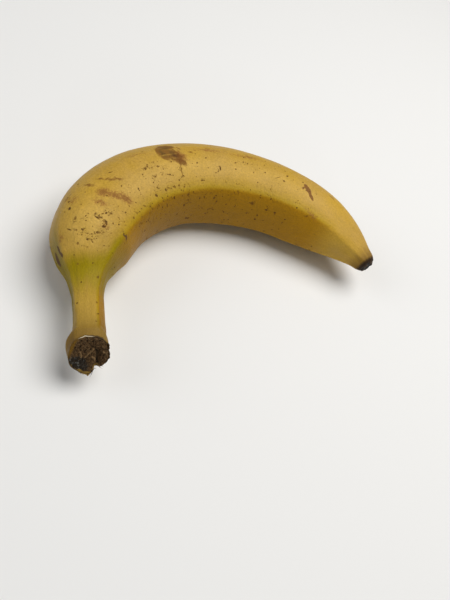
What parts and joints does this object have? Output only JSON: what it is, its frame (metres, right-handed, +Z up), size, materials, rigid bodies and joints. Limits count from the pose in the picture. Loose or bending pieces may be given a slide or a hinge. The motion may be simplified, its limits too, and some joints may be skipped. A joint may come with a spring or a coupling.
{
  "type": "banana",
  "caption": "One whole ripe banana lying on its side: a curved, ridged fruit in its peel, with a neck, a slanted cut crown and a blunt blossom end.",
  "frame": {"origin": "on the surface that the fruit lies on, under the middle of its bounding box", "axes": "+Z up; X from one end to the other, with the crown towards -X and the blossom end towards +X; the back of the curve faces +Y and its hollow -Y"},
  "size_m": [0.1546, 0.092, 0.0372],
  "materials": {
    "peel": "waxy, softly glossy ripe peel: ochre yellow with brown bruises and specks, green towards the neck, and a dark fibrous crown cut"
  },
  "bodies": {
    "root": {"banana": "peel"}
  },
  "joints": []
}
